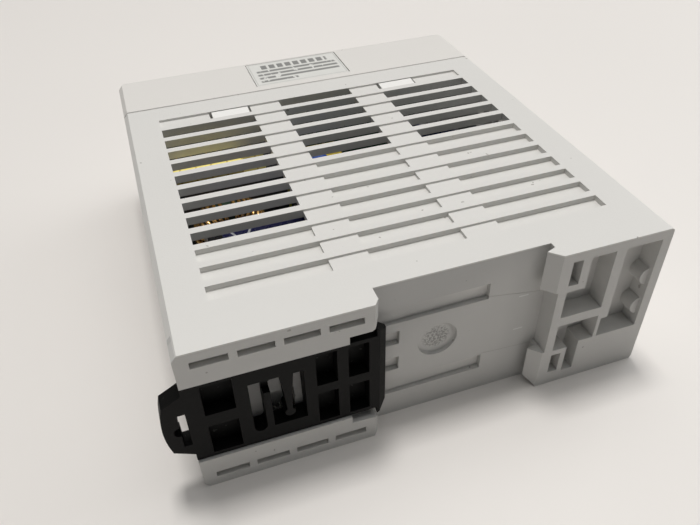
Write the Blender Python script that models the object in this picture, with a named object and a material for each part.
"""DIN rail power supply, lying on its plain side as a separate-piece assembly.

Units: sizes below are millimetres, and MM turns them into Blender's metres.
X runs along the rail-to-rail height (-X is the mounted bottom, with the pull tab), Y runs from the rail
(Y = 0 is the face that seats on the rail) to the front, and Z is the device's width.
"""

import math

import bmesh
import bpy
from mathutils import Vector

MM = 0.001

# Case
CASE_HEIGHT = 95.0
CASE_WIDTH = 36.0
CASE_DEPTH = 108.0
RAIL_TO_BOTTOM = 52.95
HOOK_DEPTH = 4.2
COVER_DEPTH = 21.3
WALL = 1.8
REAR_WALL = 2.6
GAP = 0.3
CHAMFER_X = 1.0
CHAMFER_Z = 1.2
EDGE_ROUND = 0.8
FRONT_ROUND = 4.0
SEAM_GROOVE = 0.3

# Rail pocket, its fixed hook and the seat's grooves
RAIL_POCKET = 35.36
LIP_REACH = 2.0
LIP_UNDER = 1.3
LIP_TIP = 2.0
HOOK_MIDDLE = (-7.6, 8.8)
HOOK_SETBACK = 0.7
SEAT_GROOVE_LENGTH = 24.0
SEAT_GROOVE_WIDTH = 3.9
SEAT_GROOVE_Z = 9.7
SEAT_GROOVE_DEPTH = 1.1
SEAT_RECESS_DEPTH = 1.1
BAR_SLOTS = 4
BAR_SLOT_START = 2.55
BAR_SLOT_PITCH = 7.83
BAR_SLOT_LENGTH = 6.35
BAR_SLOT_DEPTH = 1.3
CORE_WALL = 1.9

# Louvres
LOUVRE_ROWS = 13
LOUVRE_PITCH = 5.443
LOUVRE_GAP = 3.66
LOUVRE_FROM_SEAM = 6.7
LOUVRE_MARGIN = 7.8
LOUVRE_SHIFT = 0.2
LOUVRE_BRIDGE = 7.6
LOUVRE_MIDDLE = 19.0
BLIND_DEPTH = 1.15
FIRST_ROW_DEPTH = 0.55
BRIDGE_DEPTH = 0.45
OPEN_ROWS = (range(1, 10), range(0, 6), range(1, 6))
END_SLOT_ROWS = range(1, 12)
END_SLOT_Z = (-7.0, 13.0)
END_SLOT_WIDTH = 2.6

# Snap tabs of the front cover
SNAP_WIDTH = 9.2
SNAP_OPENING = 10.4
ARM_THICK = 1.3

# Rail clip
CLIP_TRAVEL = 4.0
CLIP_STOP_LENGTH = 1.0
CHANNEL_HALF = 10.15
CHANNEL_WIDE = 11.9
CLIP_RECESS = 0.5
CLIP_FLANGE = 1.4
TAB_REACH = 4.5
TAB_TIP_HALF = 6.0
TAB_SAG = 0.8
POCKET_DEPTH = 2.7
SPRING_RADIUS = 1.1
SPRING_WIRE = 0.3
SPRING_TURNS = 9
SPRING_LENGTH = 13.4
SPRING_Z = -8.1

# Boards and terminals
BOARD_THICK = 1.6
BOARD_TOP = 7.0
GUIDE_DEPTH = 2.0
GUIDE_THICK = 1.2
SCREW_INSET = 8.0
BLOCK_LENGTH = 12.4
POLE_CAGE = 5.4
CAGE_TRAVEL = 2.5
SCREW_HEAD = 2.1
SCREW_SHANK = 1.3
SHELF_THICK = 1.2
ACCESS_HOLE = 2.7
INPUT_POLES = (-9.0, 0.0, 9.0)
OUTPUT_POLES = (-10.8, -3.6, 3.6, 10.8)

# Power parts on the main board: how far behind the seam each one is, and its main sizes
TRANSFORMER_BACK = (25.0, 10.0)
WINDING_LENGTH = 22.0
WINDING_ROUND = 4.0
CORE_LEG = 3.6
CORE_FACE = 2.6
CORE_HALF_LEG = 3.5
BULK_BACK = 49.5
BULK_RADIUS = 11.0
BULK_LENGTH = 28.0
OUTPUT_CAPACITOR_BACKS = (14.5, 29.0)
OUTPUT_CAPACITOR_RADIUS = 6.3
OUTPUT_CAPACITOR_HEIGHT = 20.0
CHOKE_BACK = (36.5, 30.9)
CHOKE_RADII = (4.9, 7.5)
CHOKE_WIRE = 1.6
CHOKE_STEPS = 24
CHOKE_SPREAD = 150
HEATSINK_THICK = 1.6
HEATSINK_HEIGHT = 22.0
HEATSINK_FOLD = 3.2
PRIMARY_BACK = 43.5
SECONDARY_BACK = (62.5, 22.5)
POWER_BODY = (4.4, 10.0, 15.0)
SCREW_HEAD_RADIUS = 2.6
SCREW_HEAD_HEIGHT = 1.8
FUSE_BACK = 3.7
FUSE_RADIUS = 2.7
FUSE_HALF = 10.0

# Labels sit in shallow recesses
LABEL_RECESS = 0.6
LABEL_THICK = 0.25
LABEL_ROOM = 0.2
CAUTION_X = (-18.0, 7.8)
CAUTION_FROM_SEAM = (3.2, 17.4)
RATING_HALF = 30.0
RATING_BACK = (60.5, 14.5)
PLATE_REACH = (22.0, 14.0)
PLATE_HALF = 12.0

# Indicator and voltage trimmer
PANEL_FROM_TOP = 22.0
LED_Z = -7.0
LED_RADIUS = 1.5
TRIMMER_Z = 6.0
TRIMMER_RADIUS = 2.3
TRIMMER_HALF = 3.3
TRIMMER_DEPTH = 6.8

# Places that follow from the sizes above
BOTTOM = -RAIL_TO_BOTTOM
TOP = CASE_HEIGHT - RAIL_TO_BOTTOM
MIDDLE = (BOTTOM + TOP) / 2
HALF = CASE_WIDTH / 2
REAR = -HOOK_DEPTH
FRONT = CASE_DEPTH - HOOK_DEPTH
SEAM = FRONT - COVER_DEPTH
POCKET_X = RAIL_POCKET / 2
INNER_BOTTOM = BOTTOM + WALL
INNER_TOP = TOP - WALL
INNER_HALF = HALF - WALL
BOARD_Z = -HALF + BOARD_TOP
PARTS_Z = BOARD_Z + GAP
CLIP_FACE = REAR + CLIP_RECESS
BOARD_FRONT = SEAM + 0.3
FRONT_BOARD_Y = BOARD_FRONT + GAP
BLOCK_REAR = FRONT_BOARD_Y + BOARD_THICK + GAP
BLOCK_FRONT = FRONT - WALL - GAP
SPRING_BOSS = 2 * SPRING_RADIUS + 2.2
CAUTION_Y = (SEAM + CAUTION_FROM_SEAM[0], SEAM + CAUTION_FROM_SEAM[1])
RATING_X = (MIDDLE - RATING_HALF, MIDDLE + RATING_HALF)
RATING_Y = (SEAM - RATING_BACK[0], SEAM - RATING_BACK[1])
PLATE_X = (MIDDLE - PLATE_REACH[0], MIDDLE + PLATE_REACH[1])
PLATE_Z = (-PLATE_HALF, PLATE_HALF)
LED_PLACE = (TOP - PANEL_FROM_TOP, LED_Z)
TRIMMER_PLACE = (TOP - PANEL_FROM_TOP, TRIMMER_Z)

# Looks: colour, roughness and how metallic
CASE_LOOK = ((0.72, 0.71, 0.68), 0.5)
CLIP_LOOK = ((0.015, 0.015, 0.014), 0.45)
BLACK_LOOK = ((0.02, 0.02, 0.02), 0.5)
BOARD_LOOK = ((0.05, 0.2, 0.08), 0.4)
STEEL_LOOK = ((0.66, 0.66, 0.65), 0.3, 1.0)
LABEL_LOOK = ((0.8, 0.8, 0.78), 0.6)


def material(name, colour, roughness, metallic=0.0):
    """A Principled material with one plain colour."""
    made = bpy.data.materials.new(name)
    made.use_nodes = True
    shader = made.node_tree.nodes["Principled BSDF"]
    shader.inputs["Base Color"].default_value = (*colour, 1.0)
    shader.inputs["Roughness"].default_value = roughness
    shader.inputs["Metallic"].default_value = metallic
    made.diffuse_color = (*colour, 1.0)
    return made


def solid(name, mesh, origin, look, smooth=False):
    """Put a bmesh, in millimetres of the assembly's frame, into the scene with its origin at a place."""
    origin = Vector(origin)
    for vertex in mesh.verts:
        vertex.co = (vertex.co - origin) * MM
    bmesh.ops.recalc_face_normals(mesh, faces=mesh.faces)
    data = bpy.data.meshes.new(name)
    mesh.to_mesh(data)
    mesh.free()
    if smooth:
        data.shade_smooth()
        data.set_sharp_from_angle(angle=math.radians(35))
    made = bpy.data.objects.new(name, data)
    made.location = origin * MM
    bpy.context.scene.collection.objects.link(made)
    made.data.materials.append(material(name, *look))
    return made


def add_prism(mesh, outline, axis, low, high):
    """A prism over a closed outline; the outline's two numbers are the other two axes in X, Y, Z order."""
    rings = []
    for level in (low, high):
        ring = []
        for first, second in outline:
            point = [first, second]
            point.insert(axis, level)
            ring.append(mesh.verts.new(point))
        rings.append(ring)
    count = len(outline)
    for index in range(count):
        following = (index + 1) % count
        mesh.faces.new((rings[0][index], rings[0][following], rings[1][following], rings[1][index]))
    mesh.faces.new(rings[0][::-1])
    mesh.faces.new(rings[1])


def add_box(mesh, x, y, z):
    """A box between pairs of limits."""
    outline = [(x[0], y[0]), (x[1], y[0]), (x[1], y[1]), (x[0], y[1])]
    add_prism(mesh, outline, 2, z[0], z[1])


def prism(outline, axis, low, high):
    mesh = bmesh.new()
    add_prism(mesh, outline, axis, low, high)
    return mesh


def box(x, y, z):
    mesh = bmesh.new()
    add_box(mesh, x, y, z)
    return mesh


def arc(centre, radius, start, end, steps):
    """Points of an arc, with angles in degrees."""
    points = []
    for index in range(steps + 1):
        angle = math.radians(start + (end - start) * index / steps)
        points.append((centre[0] + radius * math.cos(angle), centre[1] + radius * math.sin(angle)))
    return points


def circle(centre, radius, steps):
    return arc(centre, radius, 0, 360, steps)[:-1]


def add_turned(mesh, profile, axis, centre, steps):
    """A turned solid: the profile is (radius, level) pairs, and its first and last radius are 0."""
    first = mesh.verts.new(place_on_axis(axis, centre, 0, 0, profile[0][1]))
    last = mesh.verts.new(place_on_axis(axis, centre, 0, 0, profile[-1][1]))
    rings = []
    for radius, level in profile[1:-1]:
        ring = []
        for index in range(steps):
            angle = 2 * math.pi * index / steps
            point = place_on_axis(axis, centre, radius * math.cos(angle), radius * math.sin(angle), level)
            ring.append(mesh.verts.new(point))
        rings.append(ring)
    for index in range(steps):
        following = (index + 1) % steps
        mesh.faces.new((first, rings[0][following], rings[0][index]))
        mesh.faces.new((last, rings[-1][index], rings[-1][following]))
        for lower, upper in zip(rings, rings[1:]):
            mesh.faces.new((lower[index], lower[following], upper[following], upper[index]))


def place_on_axis(axis, centre, across, up, level):
    """A point from two numbers across an axis and one along it; centre gives the axis's other two."""
    point = [centre[0] + across, centre[1] + up]
    point.insert(axis, level)
    return point


def turned(profile, axis, centre, steps=20):
    mesh = bmesh.new()
    add_turned(mesh, profile, axis, centre, steps)
    return mesh


def rod(radius, low, high):
    """The turned profile of a plain cylinder."""
    return [(0, low), (radius, low), (radius, high), (0, high)]


def combine(target, mesh, name, operation="DIFFERENCE"):
    """Cut a shape from a solid, or join one to it, with a Boolean modifier."""
    helper = solid(name, mesh, target.location / MM, ((0.5, 0.5, 0.5), 0.5))
    helper.hide_render = True
    helper.display_type = "WIRE"
    boolean = target.modifiers.new(name, "BOOLEAN")
    boolean.operation = operation
    boolean.solver = "EXACT"
    boolean.object = helper
    return helper


def case_outline(inset=0.0):
    """The case's section across its depth: chamfered bottom corners, rounded top corners."""
    low = BOTTOM + inset
    high = TOP - inset
    side = HALF - inset
    corner = EDGE_ROUND
    outline = [(low, -side + CHAMFER_Z), (low + CHAMFER_X, -side)]
    outline += arc((high - corner, -side + corner), corner, -90, 0, 3)
    outline += arc((high - corner, side - corner), corner, 0, 90, 3)
    outline += [(low + CHAMFER_X, side), (low, side - CHAMFER_Z)]
    return outline


# Louvres and end slots


def louvre_columns():
    """The X limits of the three columns of louvres."""
    centre = MIDDLE + LOUVRE_SHIFT
    outer = CASE_HEIGHT / 2 - LOUVRE_MARGIN
    inner = LOUVRE_MIDDLE / 2
    return (
        (centre - outer, centre - inner - LOUVRE_BRIDGE),
        (centre - inner, centre + inner),
        (centre + inner + LOUVRE_BRIDGE, centre + outer),
    )


def louvre_row(row):
    """The Y limits of one row of louvres, counted from the front."""
    far = SEAM - LOUVRE_FROM_SEAM - row * LOUVRE_PITCH
    return (far - LOUVRE_GAP, far)


def snap_places():
    """The X limits of the two snap openings, at the inner ends of the outer columns."""
    columns = louvre_columns()
    return (
        (columns[0][1] - SNAP_OPENING, columns[0][1]),
        (columns[2][0], columns[2][0] + SNAP_OPENING),
    )


def cut_louvres(housing):
    """Open louvres go through the side; blind ones are shallow pockets; bridges lie just below the ribs."""
    columns = louvre_columns()
    through = bmesh.new()
    blind = bmesh.new()
    bridges = bmesh.new()
    for row in range(LOUVRE_ROWS):
        limits = louvre_row(row)
        for column, opened in zip(columns, OPEN_ROWS):
            depth = WALL + 1.0 if row in opened else FIRST_ROW_DEPTH if row == 0 else BLIND_DEPTH
            target = through if row in opened else blind
            add_box(target, column, limits, (HALF - depth, HALF + 1.0))
        for left, right in zip(columns, columns[1:]):
            add_box(bridges, (left[1] - 0.2, right[0] + 0.2), limits, (HALF - BRIDGE_DEPTH, HALF + 1.5))
    combine(housing, through, "cutter_open_louvres")
    combine(housing, blind, "cutter_blind_louvres")
    combine(housing, bridges, "cutter_louvre_bridges")
    slots = bmesh.new()
    for row in END_SLOT_ROWS:
        centre = sum(louvre_row(row)) / 2
        limits = (centre - END_SLOT_WIDTH / 2, centre + END_SLOT_WIDTH / 2)
        add_box(slots, (BOTTOM - 1, INNER_BOTTOM + 1), limits, END_SLOT_Z)
        add_box(slots, (INNER_TOP - 1, TOP + 1), limits, END_SLOT_Z)
    combine(housing, slots, "cutter_end_slots")


def cut_snap_openings(housing):
    openings = bmesh.new()
    for limits in snap_places():
        add_box(openings, limits, louvre_row(0), (INNER_HALF - 1, HALF + 2))
        add_box(openings, limits, louvre_row(0), (-HALF - 2, -INNER_HALF + 1))
    combine(housing, openings, "cutter_snap_openings")


# Rear of the case


def clip_channel_outline():
    """The clip's channel seen from the rail: narrow at the bottom end, wide by the rail for its lip."""
    step = -POCKET_X - CLIP_TRAVEL - CLIP_STOP_LENGTH - 0.7
    mouth = -POCKET_X + 1.0
    half = [
        (BOTTOM - 1, CHANNEL_HALF),
        (step, CHANNEL_HALF),
        (step, CHANNEL_WIDE),
        (-POCKET_X - 1.6, CHANNEL_WIDE),
        (-POCKET_X - 0.6, CHANNEL_WIDE + 0.6),
        (-POCKET_X - 0.2, CHANNEL_WIDE + 1.8),
        (mouth, CHANNEL_WIDE + 1.8),
    ]
    return half + [(x, -z) for x, z in reversed(half)]


def rail_pocket_outline():
    """The rail's pocket seen from the side: square behind the clip, undercut behind the fixed hook."""
    return [
        (-POCKET_X, 0),
        (POCKET_X, 0),
        (POCKET_X, -LIP_UNDER),
        (POCKET_X - LIP_REACH, -LIP_TIP),
        (POCKET_X + 0.2, REAR),
        (POCKET_X + 0.2, REAR - 1),
        (-POCKET_X - 1.0, REAR - 1),
        (-POCKET_X - 1.0, REAR),
        (-POCKET_X, REAR + 1.3),
    ]


def coring_pockets():
    """Outlines of the five pockets that core out the fixed hook's block."""
    left = POCKET_X + 2.6
    right = TOP - 2.1
    edge = HALF - 2.2
    rib = TOP - 12.4
    return [
        [(left, 9.9), (left + 2.2, 9.9), (left + 2.2, edge), (left, edge)],
        [(left, 1.5), (rib, 1.5), (rib, edge), (left + 4.0, edge), (left + 4.0, 8.3), (left, 8.3)],
        [
            (TOP - 10.1, edge),
            (TOP - 10.1, -2.0),
            (TOP - 11.6, -2.0),
            (TOP - 11.6, -7.0),
            (right, -7.0),
            (right, edge),
        ],
        [
            (left, -0.8),
            (left, -7.9),
            (left + 3.4, -7.9),
            (left + 3.4, -15.0),
            (left + 6.0, -15.0),
            (left + 6.0, -7.0),
            (rib, -7.0),
            (rib, -0.8),
        ],
        [(left, -14.4), (left + 2.2, -14.4), (left + 2.2, -9.2), (left, -9.2)],
    ]


def spring_limits():
    """The X limits of the clip's return spring at rest."""
    end = -POCKET_X - 18.0
    return (end - SPRING_LENGTH, end)


def cut_rear(housing):
    combine(housing, prism(rail_pocket_outline(), 2, -HALF - 1, HALF + 1), "cutter_rail_pocket")
    relief = bmesh.new()
    inner = POCKET_X - 4
    add_box(relief, (inner, POCKET_X + HOOK_SETBACK), (REAR - 2, -0.01), HOOK_MIDDLE)
    corner = [(inner, -HALF - 3), (POCKET_X + 1.0, -HALF - 3), (POCKET_X + 0.4, -HALF), (inner, -HALF + 4.4)]
    add_prism(relief, corner, 1, REAR - 2, -0.02)
    combine(housing, relief, "cutter_hook_relief")
    combine(housing, prism(clip_channel_outline(), 1, REAR - 1, -0.005), "cutter_clip_channel")
    flange = CHANNEL_WIDE + GAP
    flange_room = box((BOTTOM - 2, -POCKET_X + 0.5), (-CLIP_FLANGE - 2 * GAP, -0.0075), (-flange, flange))
    combine(housing, flange_room, "cutter_clip_flanges")
    slots = bmesh.new()
    for index in range(BAR_SLOTS):
        start = BOTTOM + BAR_SLOT_START + BAR_SLOT_PITCH * index
        for sign in (-1, 1):
            limits = sorted((sign * (HALF - 3.7), sign * (HALF - 2.2)))
            add_box(slots, (start, start + BAR_SLOT_LENGTH), (REAR - 1, REAR + BAR_SLOT_DEPTH), limits)
    combine(housing, slots, "cutter_bar_slots")
    pockets = bmesh.new()
    for outline in coring_pockets():
        add_prism(pockets, outline, 1, REAR - 1, 0)
    combine(housing, pockets, "cutter_coring_pockets")
    bumps = bmesh.new()
    wall = TOP - 1.6
    radius = 2.2
    for middle in (-2.2, 5.8):
        outline = [(wall, middle - radius), (wall, middle + radius)]
        outline += arc((wall, middle), radius, 105, 255, 8)
        add_prism(bumps, outline, 1, REAR + 0.9, 0.6)
    combine(housing, bumps, "joined_pocket_bumps", "UNION")


def cut_seat(housing):
    """Two long grooves and two short recesses in the face that meets the rail, and the spring's trough."""
    grooves = bmesh.new()
    start = -POCKET_X - GAP
    end = start + SEAT_GROOVE_LENGTH
    ramp = [(start, -1), (end, -1), (end, SEAT_GROOVE_DEPTH), (start, 0.75)]
    for sign in (-1, 1):
        middle = sign * SEAT_GROOVE_Z
        add_prism(grooves, ramp, 2, middle - SEAT_GROOVE_WIDTH / 2, middle + SEAT_GROOVE_WIDTH / 2)
    for middle in (3.9, -3.1):
        add_box(grooves, (start, -POCKET_X + 5.4), (-1, SEAT_RECESS_DEPTH), (middle - 1.7, middle + 1.7))
    combine(housing, grooves, "cutter_seat_grooves")
    spring = spring_limits()
    trough = SPRING_RADIUS + GAP / 2
    depth = 2 * SPRING_RADIUS + 2 * GAP
    outline = [
        (spring[0] - GAP, SPRING_Z - trough),
        (spring[1] + 2.4, SPRING_Z - trough),
        (spring[1] + 2.4, -1.5),
        (spring[1] - 2.6, -1.5),
        (spring[1] - 2.6, SPRING_Z + trough),
        (spring[0] - GAP, SPRING_Z + trough),
    ]
    combine(housing, prism(outline, 1, -1, depth), "cutter_spring_trough")


def cavity_outline():
    """The housing's hollow, with a pair of guides at each end that the main board slides between."""
    low = BOARD_Z - BOARD_THICK
    steps = [
        (low - GAP - GUIDE_THICK, 0),
        (low - GAP - GUIDE_THICK, GUIDE_DEPTH),
        (low - GAP, GUIDE_DEPTH),
        (low - GAP, 0),
        (BOARD_Z + GAP, 0),
        (BOARD_Z + GAP, GUIDE_DEPTH),
        (BOARD_Z + GAP + GUIDE_THICK, GUIDE_DEPTH),
        (BOARD_Z + GAP + GUIDE_THICK, 0),
    ]
    outline = [(INNER_TOP, -INNER_HALF)]
    outline += [(INNER_TOP - inset, z) for z, inset in steps]
    outline += [(INNER_TOP, INNER_HALF), (INNER_BOTTOM, INNER_HALF)]
    outline += [(INNER_BOTTOM + inset, z) for z, inset in reversed(steps)]
    outline += [(INNER_BOTTOM, -INNER_HALF)]
    return outline


def label_recess(*limits):
    """The limits of a label's recess, which leaves a little room round the label's edge."""
    return [(low - LABEL_ROOM, high + LABEL_ROOM) for low, high in limits]


def main_housing():
    housing = solid("main_housing", prism(case_outline(), 1, REAR, SEAM), (0, 0, 0), CASE_LOOK)
    combine(housing, prism(cavity_outline(), 1, REAR_WALL, SEAM + 1), "cutter_cavity")
    spring = spring_limits()
    boss = box((spring[0] - 2, spring[1] + 4.2), (REAR_WALL - 1, SPRING_BOSS), (-INNER_HALF + 4.5, 0.5))
    combine(housing, boss, "joined_spring_boss", "UNION")
    cut_rear(housing)
    cut_seat(housing)
    cut_louvres(housing)
    cut_snap_openings(housing)
    x, y = label_recess(RATING_X, RATING_Y)
    combine(housing, box(x, y, (-HALF - 1, -HALF + LABEL_RECESS)), "cutter_rating_recess")
    return housing


# Front cover


def cover_shell():
    """A cap with a rounded front edge, lofted from rings that shrink along a quarter circle."""
    mesh = bmesh.new()
    levels = [(SEAM + SEAM_GROOVE, 0.5), (SEAM + 2 * SEAM_GROOVE, 0.0)]
    for index in range(5):
        angle = math.radians(90 * index / 4)
        levels.append((FRONT - FRONT_ROUND * (1 - math.sin(angle)), FRONT_ROUND * (1 - math.cos(angle))))
    rings = []
    for level, inset in levels:
        rings.append([mesh.verts.new((x, level, z)) for x, z in case_outline(inset)])
    count = len(rings[0])
    for lower, upper in zip(rings, rings[1:]):
        for index in range(count):
            following = (index + 1) % count
            mesh.faces.new((lower[index], lower[following], upper[following], upper[index]))
    mesh.faces.new(rings[0][::-1])
    mesh.faces.new(rings[-1])
    return mesh


def terminal_x(side):
    """The X place of a row of terminal screws: side -1 is the input, side 1 the output."""
    return BOTTOM + SCREW_INSET if side < 0 else TOP - SCREW_INSET


def cut_cover(cover):
    hollow = box((INNER_BOTTOM, INNER_TOP), (SEAM - 1, FRONT - WALL), (-INNER_HALF, INNER_HALF))
    combine(cover, hollow, "cutter_cover_hollow")
    holes = bmesh.new()
    entries = bmesh.new()
    wire = wire_limits()
    inside = FRONT - WALL - 1
    for side, poles in ((-1, INPUT_POLES), (1, OUTPUT_POLES)):
        outer = (BOTTOM - 1, INNER_BOTTOM + 1) if side < 0 else (INNER_TOP - 1, TOP + 1)
        for pole in poles:
            add_prism(holes, circle((terminal_x(side), pole), ACCESS_HOLE, 16), 1, inside, FRONT + 1)
            add_box(entries, outer, (wire[0] - 0.5, wire[1] + 0.5), (pole - 2.7, pole + 2.7))
    add_prism(holes, circle(LED_PLACE, LED_RADIUS + GAP, 16), 1, inside, FRONT + 1)
    add_prism(holes, circle(TRIMMER_PLACE, TRIMMER_RADIUS + GAP, 16), 1, inside, FRONT + 1)
    combine(cover, holes, "cutter_access_holes")
    combine(cover, entries, "cutter_wire_entries")
    x, y = label_recess(CAUTION_X, CAUTION_Y)
    combine(cover, box(x, y, (HALF - LABEL_RECESS, HALF + 1)), "cutter_caution_recess")
    x, z = label_recess(PLATE_X, PLATE_Z)
    combine(cover, box(x, (FRONT - LABEL_RECESS, FRONT + 1), z), "cutter_plate_recess")


def snap_arms():
    """Four arms that reach back inside the housing; each head fills a snap opening almost flush."""
    mesh = bmesh.new()
    head = louvre_row(0)
    top = INNER_HALF - GAP
    for limits in snap_places():
        centre = sum(limits) / 2
        x = (centre - SNAP_WIDTH / 2, centre + SNAP_WIDTH / 2)
        outline = [
            (SEAM + 4, top - ARM_THICK),
            (SEAM + 4, INNER_HALF + 0.6),
            (SEAM + 1.2, INNER_HALF + 0.6),
            (SEAM + 0.9, top),
            (head[1] - GAP, top),
            (head[1] - GAP, HALF - 0.1),
            (head[0] + GAP, HALF - 0.3),
            (head[0] + GAP, top - ARM_THICK),
        ]
        add_prism(mesh, outline, 0, x[0], x[1])
        add_prism(mesh, [(y, -z) for y, z in outline], 0, x[0], x[1])
    return mesh


def front_cover():
    cover = solid("front_cover", cover_shell(), (MIDDLE, SEAM, 0), CASE_LOOK)
    cut_cover(cover)
    combine(cover, snap_arms(), "joined_snap_arms", "UNION")
    return cover


# Rail clip and its spring


def finger_window():
    """The clip's wide window, with a springy finger hanging into it that ends in a round knob."""
    half = 6.3
    left = -POCKET_X - 20.5
    middle = -POCKET_X - 17.35
    right = -POCKET_X - 14.2
    knob = arc((middle, -3.8), 1.0, 120, 420, 10)
    return [
        (left, half),
        (middle - 1.25, half),
        (middle - 0.7, 1.0),
        *knob,
        (middle + 0.7, 1.0),
        (middle + 1.25, half),
        (right, half),
        (right, -half),
        (left, -half),
    ]


def clip_outline():
    """The clip's slab with its pull tab: square shoulders, then a blunt curved end."""
    body = CHANNEL_HALF - GAP
    end = BOTTOM - TAB_REACH
    radius = (TAB_TIP_HALF**2 + TAB_SAG**2) / (2 * TAB_SAG)
    swing = math.degrees(math.asin(TAB_TIP_HALF / radius))
    curve = arc((end + radius, 0), radius, 180 - swing, 180 + swing, 6)
    return [
        (-POCKET_X - GAP, body),
        (BOTTOM - 0.1, body),
        (BOTTOM - 0.1, 8.0),
        *curve,
        (BOTTOM - 0.1, -8.0),
        (BOTTOM - 0.1, -body),
        (-POCKET_X - GAP, -body),
    ]


def rail_clip():
    back = -GAP
    clip = solid("rail_clip", prism(clip_outline(), 1, CLIP_FACE, back), (-POCKET_X, 0, 0), CLIP_LOOK)
    flange_x = (BOTTOM + 1, -POCKET_X - CLIP_TRAVEL - CLIP_STOP_LENGTH)
    flanges = box(flange_x, (-CLIP_FLANGE - GAP, back - 0.01), (-CHANNEL_WIDE, CHANNEL_WIDE))
    combine(clip, flanges, "joined_clip_flanges", "UNION")
    lip = [
        (-POCKET_X - 0.4, CLIP_FACE + 0.02),
        (-POCKET_X + 0.1, CLIP_FACE + 0.02),
        (-POCKET_X + 1.85, -LIP_TIP),
        (-POCKET_X + 1.85, -LIP_UNDER),
        (-POCKET_X + 0.1, -LIP_UNDER),
        (-POCKET_X - 0.2, back - 0.02),
        (-POCKET_X - 0.4, back - 0.02),
    ]
    combine(clip, prism(lip, 2, -CHANNEL_WIDE + 0.15, CHANNEL_WIDE - 0.15), "joined_clip_lip", "UNION")
    blind = bmesh.new()
    columns = (
        (BOTTOM + 3.1, BOTTOM + 8.55),
        (-POCKET_X - 11.95, -POCKET_X - 8.0),
        (-POCKET_X - 5.9, -POCKET_X - 1.95),
    )
    for column, rib in zip(columns, (1.5, 1.1, 1.1)):
        for sign in (-1, 1):
            limits = sorted((sign * rib, sign * 8.95))
            add_box(blind, column, (CLIP_FACE - 1, CLIP_FACE + POCKET_DEPTH), limits)
    combine(clip, blind, "cutter_clip_pockets")
    through = bmesh.new()
    narrow_x = (-POCKET_X - 24.2, -POCKET_X - 21.8)
    centre = sum(narrow_x) / 2
    radius = (narrow_x[1] - narrow_x[0]) / 2
    narrow = [(narrow_x[1], 6.3), (narrow_x[0], 6.3), *arc((centre, -5.6), radius, 180, 360, 6)]
    add_prism(through, narrow, 1, CLIP_FACE - 1, 1)
    add_prism(through, finger_window(), 1, CLIP_FACE - 1, 1)
    slot_x = (BOTTOM - 1.6, BOTTOM - 0.15)
    keyhole = [
        (slot_x[1], -5.0),
        (slot_x[1], 3.4),
        (slot_x[0], 3.4),
        *arc((slot_x[0], -0.9), 1.15, 90, 270, 8),
        (slot_x[0], -5.0),
    ]
    add_prism(through, keyhole, 1, CLIP_FACE - 1, 1)
    combine(clip, through, "cutter_clip_windows")
    corners = bmesh.new()
    notch = (narrow_x[1] - 0.2, -POCKET_X - 20.3)
    add_box(corners, notch, (CLIP_FACE - 1, CLIP_FACE + 1.6), (3.2, 6.1))
    edge_x = (-POCKET_X - 0.9, -POCKET_X + 2.4)
    edge = [(edge_x[0], 13.0), (edge_x[0], 12.0), (edge_x[1], 9.4), (edge_x[1], 13.0)]
    for sign in (-1, 1):
        add_prism(corners, [(x, sign * z) for x, z in edge], 1, CLIP_FACE - 1, 1)
    combine(clip, corners, "cutter_clip_corners")
    peg_x = spring_limits()[1] + GAP
    peg = box((peg_x, peg_x + 1.2), (back - 0.5, 2 * SPRING_RADIUS), (SPRING_Z - 0.9, SPRING_Z + 0.9))
    combine(clip, peg, "joined_drive_peg", "UNION")
    return clip


def clip_return_spring():
    """A compression coil along X, swept as a six-sided wire with flat ends."""
    start, end = spring_limits()
    start += SPRING_WIRE
    end -= SPRING_WIRE
    centre_y = SPRING_RADIUS + GAP
    coil = SPRING_RADIUS - SPRING_WIRE / 2
    steps = SPRING_TURNS * 10
    sides = 5
    mesh = bmesh.new()
    rings = []
    for index in range(steps + 1):
        angle = 2 * math.pi * SPRING_TURNS * index / steps
        outward = Vector((0, math.cos(angle), math.sin(angle)))
        point = Vector((start + (end - start) * index / steps, centre_y, SPRING_Z)) + outward * coil
        ring = []
        for side in range(sides):
            turn = 2 * math.pi * side / sides
            offset = outward * math.cos(turn) + Vector((1, 0, 0)) * math.sin(turn)
            ring.append(mesh.verts.new(point + offset * SPRING_WIRE / 2))
        rings.append(ring)
    for lower, upper in zip(rings, rings[1:]):
        for side in range(sides):
            following = (side + 1) % sides
            mesh.faces.new((lower[side], lower[following], upper[following], upper[side]))
    mesh.faces.new(rings[0][::-1])
    mesh.faces.new(rings[-1])
    return solid("clip_return_spring", mesh, (start, centre_y, SPRING_Z), STEEL_LOOK, smooth=True)


# Boards and the parts on them


def boards():
    """The main board slides in between the housing's guides; the front board lies behind the terminals."""
    x = (INNER_BOTTOM + 0.7, INNER_TOP - 0.7)
    rear = SPRING_BOSS + 2 * GAP
    mesh = box(x, (rear, BOARD_FRONT), (BOARD_Z - BOARD_THICK, BOARD_Z))
    solid("main_circuit_board", mesh, (MIDDLE, rear, BOARD_Z), BOARD_LOOK)
    half = INNER_HALF - 2.0
    y = (FRONT_BOARD_Y, FRONT_BOARD_Y + BOARD_THICK)
    mesh = box((INNER_BOTTOM + GAP, INNER_TOP - GAP), y, (-half, half))
    solid("front_circuit_board", mesh, (MIDDLE, FRONT_BOARD_Y, 0), BOARD_LOOK)


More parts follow.
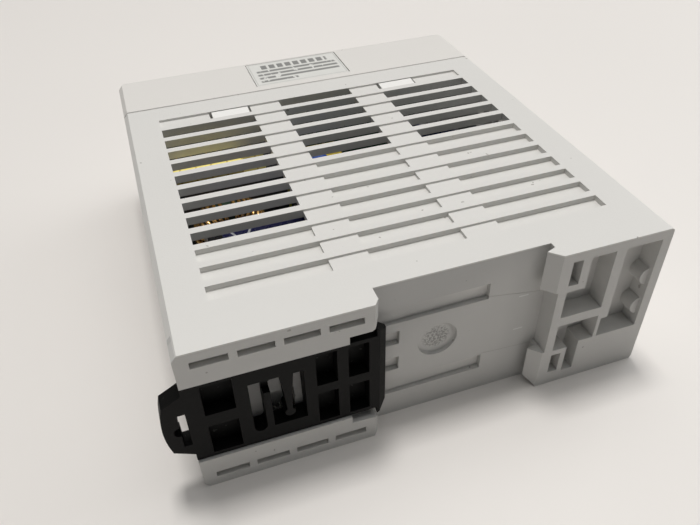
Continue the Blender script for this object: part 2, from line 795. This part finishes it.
def transformer():
    """A ferrite core round a taped winding; the winding's axis lies along X."""
    winding_x = (INNER_BOTTOM + 6.0, INNER_BOTTOM + 6.0 + WINDING_LENGTH)
    winding_y = (SEAM - TRANSFORMER_BACK[0], SEAM - TRANSFORMER_BACK[1])
    winding_z = (PARTS_Z + 1.5, PARTS_Z + 23.9)
    room = CORE_LEG + GAP
    outer_x = (winding_x[0] - room, winding_x[1] + room)
    outer_y = (winding_y[0] - room, winding_y[1] + room)
    core_z = (PARTS_Z + 4.0, PARTS_Z + 20.3)
    middle = (outer_x[0], sum(winding_y) / 2, sum(core_z) / 2)
    core = solid("transformer_core", box(outer_x, outer_y, core_z), middle, ((0.05, 0.05, 0.055), 0.6))
    windows = bmesh.new()
    windows_x = (winding_x[0] - GAP, winding_x[1] + GAP)
    leg_y = (middle[1] - CORE_HALF_LEG, middle[1] + CORE_HALF_LEG)
    add_box(windows, windows_x, (winding_y[0] - GAP, leg_y[0]), (core_z[0] - 1, core_z[1] + 1))
    add_box(windows, windows_x, (leg_y[1], winding_y[1] + GAP), (core_z[0] - 1, core_z[1] + 1))
    combine(core, windows, "cutter_core_windows")
    faces = bmesh.new()
    faces_y = (leg_y[0] - 0.5, leg_y[1] + 0.5)
    add_box(faces, windows_x, faces_y, (core_z[1] - CORE_FACE, core_z[1] + 1))
    add_box(faces, windows_x, faces_y, (core_z[0] - 1, core_z[0] + CORE_FACE))
    combine(core, faces, "cutter_core_leg")
    outline = []
    corners = (
        (winding_y[1] - WINDING_ROUND, winding_z[1] - WINDING_ROUND),
        (winding_y[0] + WINDING_ROUND, winding_z[1] - WINDING_ROUND),
        (winding_y[0] + WINDING_ROUND, winding_z[0] + WINDING_ROUND),
        (winding_y[1] - WINDING_ROUND, winding_z[0] + WINDING_ROUND),
    )
    for index, corner in enumerate(corners):
        outline += arc(corner, WINDING_ROUND, 90 * index, 90 * index + 90, 4)
    tape = ((0.85, 0.72, 0.12), 0.4)
    mesh = prism(outline, 0, winding_x[0], winding_x[1])
    winding = solid("transformer_winding", mesh, (winding_x[0], middle[1], 0), tape, smooth=True)
    bore = box(
        (winding_x[0] - 1, winding_x[1] + 1),
        (leg_y[0] - GAP, leg_y[1] + GAP),
        (core_z[0] + CORE_FACE - GAP, core_z[1] - CORE_FACE + GAP),
    )
    combine(winding, bore, "cutter_winding_bore")


def capacitor(name, radius, length, axis, centre, start):
    """An electrolytic capacitor: a can with a rolled groove near its base and a slightly eased rim."""
    profile = [
        (0, 0),
        (radius - 0.5, 0),
        (radius, 0.5),
        (radius, 1.8),
        (radius - 0.6, 2.4),
        (radius, 3.0),
        (radius, length - 0.5),
        (radius - 0.5, length),
        (0, length),
    ]
    mesh = turned([(r, start + level) for r, level in profile], axis, centre)
    origin = place_on_axis(axis, centre, 0, 0, start)
    solid(name, mesh, origin, ((0.03, 0.03, 0.12), 0.35), smooth=True)


def capacitors():
    bulk = (SEAM - BULK_BACK, PARTS_Z + BULK_RADIUS + 0.2)
    capacitor("bulk_capacitor", BULK_RADIUS, BULK_LENGTH, 0, bulk, INNER_BOTTOM + 9.5)
    for index, back in enumerate(OUTPUT_CAPACITOR_BACKS, 1):
        name = f"output_capacitor_{index}"
        place = (TOP - 16.0, SEAM - back)
        capacitor(name, OUTPUT_CAPACITOR_RADIUS, OUTPUT_CAPACITOR_HEIGHT, 2, place, PARTS_Z)


def turned_ring(centre, inner, outer, limits, steps):
    """A flat ring with square edges and its axis along Y."""
    mesh = bmesh.new()
    rings = []
    for radius, level in ((inner, limits[0]), (outer, limits[0]), (outer, limits[1]), (inner, limits[1])):
        rings.append([mesh.verts.new((x, level, z)) for x, z in circle(centre, radius, steps)])
    for lower, upper in zip(rings, rings[1:] + rings[:1]):
        for index in range(steps):
            following = (index + 1) % steps
            mesh.faces.new((lower[index], lower[following], upper[following], upper[index]))
    return mesh


def choke():
    """A ring core standing on edge, with a winding sleeve round each side of it."""
    inner, outer = CHOKE_RADII
    centre = (INNER_BOTTOM + 16.6, PARTS_Z + outer + 3.4)
    y = (SEAM - CHOKE_BACK[0], SEAM - CHOKE_BACK[1])
    place = (centre[0], sum(y) / 2, centre[1])
    core = turned_ring(centre, inner, outer, y, CHOKE_STEPS)
    solid("choke_core", core, place, ((0.08, 0.08, 0.08), 0.6), smooth=True)
    sleeve_y = (y[0] - CHOKE_WIRE, y[1] + CHOKE_WIRE)
    steps = round(CHOKE_STEPS * CHOKE_SPREAD / 360)
    for name, start in (("choke_winding_left", 105), ("choke_winding_right", -75)):
        end = start + CHOKE_SPREAD
        outline = arc(centre, outer + CHOKE_WIRE, start, end, steps)
        outline += arc(centre, inner - CHOKE_WIRE, end, start, steps)
        sleeve = prism(outline, 1, sleeve_y[0], sleeve_y[1])
        winding = solid(name, sleeve, place, ((0.55, 0.27, 0.07), 0.3, 0.8))
        hollow = turned_ring(centre, inner - GAP, outer + GAP, (y[0] - GAP, y[1] + GAP), CHOKE_STEPS)
        combine(winding, hollow, "cutter_" + name)


def heatsink(name, outline, axis, limits, origin):
    solid(name, prism(outline, axis, limits[0], limits[1]), origin, ((0.62, 0.62, 0.63), 0.35, 1.0))


def fixing_screw(name, seat, axis, centre):
    """The head of the screw that holds a power part; it stops a gap short of the part."""
    profile = rod(SCREW_HEAD_RADIUS, seat - SCREW_HEAD_HEIGHT, seat)
    origin = place_on_axis(axis, centre, 0, 0, seat)
    solid(name, turned(profile, axis, centre, 12), origin, STEEL_LOOK, smooth=True)


def heatsinks():
    """Two plates that stand on the board, each with a power part screwed to it."""
    top = PARTS_Z + HEATSINK_HEIGHT
    fold = top - HEATSINK_THICK
    thick, wide, tall = POWER_BODY
    x = (MIDDLE - 4.0, MIDDLE + 20.0)
    y = (SEAM - PRIMARY_BACK, SEAM - PRIMARY_BACK + HEATSINK_THICK)
    end = y[1] + HEATSINK_FOLD
    outline = [(y[0], PARTS_Z), (y[1], PARTS_Z), (y[1], fold), (end, fold), (end, top), (y[0], top)]
    heatsink("primary_heatsink", outline, 0, x, (x[0], y[0], PARTS_Z))
    face = y[0] - GAP
    body_x = (x[0] + 6.0, x[0] + 6.0 + wide)
    body = box(body_x, (face - thick, face), (PARTS_Z + 4, PARTS_Z + 4 + tall))
    middle = sum(body_x) / 2
    solid("power_transistor", body, (middle, face - thick / 2, PARTS_Z + 4), BLACK_LOOK)
    fixing_screw("transistor_screw", face - thick - GAP, 1, (middle, PARTS_Z + 16.5))
    side = INNER_TOP - 3.4
    inner = side - HEATSINK_THICK
    outline = [
        (side, PARTS_Z),
        (inner, PARTS_Z),
        (inner, fold),
        (inner - HEATSINK_FOLD, fold),
        (inner - HEATSINK_FOLD, top),
        (side, top),
    ]
    y = (SEAM - SECONDARY_BACK[0], SEAM - SECONDARY_BACK[1])
    heatsink("secondary_heatsink", outline, 1, y, (side, y[0], PARTS_Z))
    face = inner - GAP
    body_y = (y[0] + 14.0, y[0] + 14.0 + wide)
    body = box((face - thick, face), body_y, (PARTS_Z + 3, PARTS_Z + 3 + tall))
    middle = sum(body_y) / 2
    solid("output_diode", body, (face, middle, PARTS_Z + 3), BLACK_LOOK)
    fixing_screw("diode_screw", face - thick - GAP, 0, (middle, PARTS_Z + 15.5))


def board_block(name, x, back, height, look):
    """A moulded part that stands on the board between X limits and limits behind the seam."""
    y = (SEAM - back[0], SEAM - back[1])
    mesh = box(x, y, (PARTS_Z, PARTS_Z + height))
    solid(name, mesh, (sum(x) / 2, sum(y) / 2, PARTS_Z), look)


def small_parts():
    """The filter, rectifier and control parts, as blocks and turned shapes that stand on the board."""
    board_block("film_capacitor", (MIDDLE - 13, MIDDLE + 5), (15.5, 7.5), 14.5, ((0.75, 0.62, 0.1), 0.45))
    board_block("bridge_rectifier", (MIDDLE - 14, MIDDLE + 4), (35.5, 31.9), 15, BLACK_LOOK)
    board_block("optocoupler", (MIDDLE + 6, MIDDLE + 12.5), (58.5, 53.9), 3.6, ((0.7, 0.7, 0.68), 0.5))
    board_block("controller_chip", (MIDDLE + 4, MIDDLE + 14), (70.5, 64.1), 3.4, BLACK_LOOK)
    start = SEAM - 27.5
    profile = [(0, 0), (4.4, 0), (5.6, 1.4), (5.6, 2.6), (4.4, 4.0), (0, 4.0)]
    centre = (MIDDLE - 6.2, PARTS_Z + 17.1)
    disc = turned([(radius, start + level) for radius, level in profile], 1, centre)
    solid("y_capacitor", disc, (centre[0], start + 2, centre[1]), ((0.03, 0.12, 0.5), 0.3), smooth=True)
    cap = FUSE_HALF - 5.0
    tube = [
        (0, -FUSE_HALF),
        (FUSE_RADIUS, -FUSE_HALF),
        (FUSE_RADIUS, -cap),
        (FUSE_RADIUS - 0.2, 0.2 - cap),
        (FUSE_RADIUS - 0.2, cap - 0.2),
        (FUSE_RADIUS, cap),
        (FUSE_RADIUS, FUSE_HALF),
        (0, FUSE_HALF),
    ]
    centre = (SEAM - FUSE_BACK, PARTS_Z + 3.4)
    fuse = turned([(radius, MIDDLE + level) for radius, level in tube], 0, centre, 16)
    solid("fuse", fuse, (MIDDLE, *centre), ((0.8, 0.8, 0.78), 0.2), smooth=True)
    spool = [(0, 0), (6.0, 0), (6.0, 1.2), (5.0, 1.6), (5.0, 10.4), (6.0, 10.8), (6.0, 12.0), (0, 12.0)]
    centre = (TOP - 20.0, SEAM - 55.5)
    inductor = turned([(radius, PARTS_Z + level) for radius, level in spool], 2, centre)
    solid("output_inductor", inductor, (*centre, PARTS_Z), ((0.1, 0.1, 0.1), 0.5), smooth=True)


# Terminals


def wire_limits():
    """The Y limits of the space in a clamp that takes the wire, with the clamp open."""
    low = BLOCK_REAR + 3.0
    return (low, low + 4.4)


def cage_limits():
    wire = wire_limits()
    return (wire[0] - 1.0, wire[1] + 1.4)


def terminal_block(name, side, poles):
    """A moulded block with a chamber for each clamp, open at its outer end, and a well for each screw."""
    outer = (INNER_BOTTOM + GAP) if side < 0 else (INNER_TOP - GAP)
    x = sorted((outer, outer - side * BLOCK_LENGTH))
    z = (poles[0] - POLE_CAGE / 2 - 1.2, poles[-1] + POLE_CAGE / 2 + 1.2)
    place = (terminal_x(side), BLOCK_REAR, 0)
    block = solid(name, box(x, (BLOCK_REAR, BLOCK_FRONT), z), place, BLACK_LOOK)
    cage = cage_limits()
    chamber = bmesh.new()
    wells = bmesh.new()
    inner = terminal_x(side) - side * (POLE_CAGE / 2 + 1.6)
    chamber_x = sorted((outer + side * 1.0, inner))
    shelf = cage[1] + CAGE_TRAVEL + GAP
    for pole in poles:
        half = POLE_CAGE / 2 + GAP
        add_box(chamber, chamber_x, (cage[0] - GAP, shelf), (pole - half, pole + half))
        add_prism(wells, circle((terminal_x(side), pole), SCREW_SHANK + GAP, 16), 1, shelf - 0.5, shelf + 3.0)
    combine(block, chamber, "cutter_" + name + "_chambers")
    combine(block, wells, "cutter_" + name + "_shafts")
    heads = bmesh.new()
    for pole in poles:
        well = circle((terminal_x(side), pole), SCREW_HEAD + GAP, 16)
        add_prism(heads, well, 1, shelf + SHELF_THICK, BLOCK_FRONT + 1)
    combine(block, heads, "cutter_" + name + "_wells")
    return shelf + SHELF_THICK + GAP


def clamp_cage(name, side, pole):
    """A square metal ring that the screw draws up against the wire."""
    cage = cage_limits()
    wire = wire_limits()
    centre = terminal_x(side)
    half = POLE_CAGE / 2
    length = 3.2
    mesh = box((centre - length, centre + length), cage, (pole - half, pole + half))
    made = solid(name, mesh, (centre, cage[0], pole), ((0.62, 0.58, 0.45), 0.3, 1.0))
    window = box((centre - length - 1, centre + length + 1), wire, (pole - 2.2, pole + 2.2))
    combine(made, window, "cutter_" + name)
    hole = prism(circle((centre, pole), SCREW_SHANK + 0.15, 12), 1, wire[1] - 1, cage[1] + 1)
    combine(made, hole, "cutter_" + name + "_thread")


def terminal_screw(name, side, pole, seat):
    """A flat-head screw with one slot; it turns in its well and draws the cage up."""
    wire = wire_limits()
    head = seat + 1.9
    profile = [
        (0, wire[1] + GAP),
        (SCREW_SHANK - 0.3, wire[1] + GAP),
        (SCREW_SHANK, wire[1] + 0.7),
        (SCREW_SHANK, seat),
        (SCREW_HEAD, seat),
        (SCREW_HEAD, head - 0.5),
        (SCREW_HEAD - 0.5, head),
        (0, head),
    ]
    centre = (terminal_x(side), pole)
    place = (centre[0], seat, pole)
    screw = solid(name, turned(profile, 1, centre, 14), place, STEEL_LOOK, smooth=True)
    reach = SCREW_HEAD + 1
    slot = box((centre[0] - 0.3, centre[0] + 0.3), (head - 0.9, head + 1), (pole - reach, pole + reach))
    combine(screw, slot, "cutter_" + name)


def terminals():
    for kind, side, poles in (("input", -1, INPUT_POLES), ("output", 1, OUTPUT_POLES)):
        seat = terminal_block(kind + "_terminal_block", side, poles)
        for index, pole in enumerate(poles, 1):
            clamp_cage(f"{kind}_clamp_{index}", side, pole)
            terminal_screw(f"{kind}_screw_{index}", side, pole, seat)


def indicator_and_trimmer():
    start = FRONT_BOARD_Y + BOARD_THICK + GAP
    lens = [
        (0, start),
        (2.2, start),
        (2.2, start + 2),
        (LED_RADIUS, start + 2.4),
        (LED_RADIUS, FRONT - 0.4),
        (LED_RADIUS - 0.6, FRONT),
        (0, FRONT),
    ]
    led = turned(lens, 1, LED_PLACE, 16)
    solid("status_led", led, (LED_PLACE[0], start, LED_PLACE[1]), ((0.05, 0.7, 0.15), 0.15), smooth=True)
    top = FRONT - TRIMMER_DEPTH
    x, z = TRIMMER_PLACE
    body = box((x - TRIMMER_HALF, x + TRIMMER_HALF), (start, top), (z - TRIMMER_HALF, z + TRIMMER_HALF))
    solid("trimmer_body", body, (x, start, z), ((0.02, 0.08, 0.35), 0.4))
    profile = [
        (0, top + GAP),
        (TRIMMER_RADIUS, top + GAP),
        (TRIMMER_RADIUS, FRONT - 0.7),
        (TRIMMER_RADIUS - 0.3, FRONT - 0.4),
        (0, FRONT - 0.4),
    ]
    rotor = turned(profile, 1, (x, z), 16)
    knob = solid("trimmer_rotor", rotor, (x, top, z), ((0.75, 0.74, 0.7), 0.4), smooth=True)
    reach = TRIMMER_RADIUS + 1
    slot = box((x - 0.4, x + 0.4), (FRONT - 1.5, FRONT + 1), (z - reach, z + reach))
    combine(knob, slot, "cutter_trimmer_slot")


def labels():
    top = HALF - LABEL_RECESS + GAP
    caution = box(CAUTION_X, CAUTION_Y, (top, top + LABEL_THICK))
    solid("caution_label", caution, (CAUTION_X[0], CAUTION_Y[0], top), LABEL_LOOK)
    rating = box(RATING_X, RATING_Y, (-top - LABEL_THICK, -top))
    solid("rating_label", rating, (RATING_X[0], RATING_Y[0], -top), LABEL_LOOK)
    front = FRONT - LABEL_RECESS + GAP
    plate = box(PLATE_X, (front, front + LABEL_THICK), PLATE_Z)
    solid("front_nameplate", plate, (PLATE_X[0], front, 0), LABEL_LOOK)


for leftover in list(bpy.data.objects):
    bpy.data.objects.remove(leftover)

main_housing()
front_cover()
rail_clip()
clip_return_spring()
boards()
transformer()
capacitors()
choke()
heatsinks()
small_parts()
terminals()
indicator_and_trimmer()
labels()
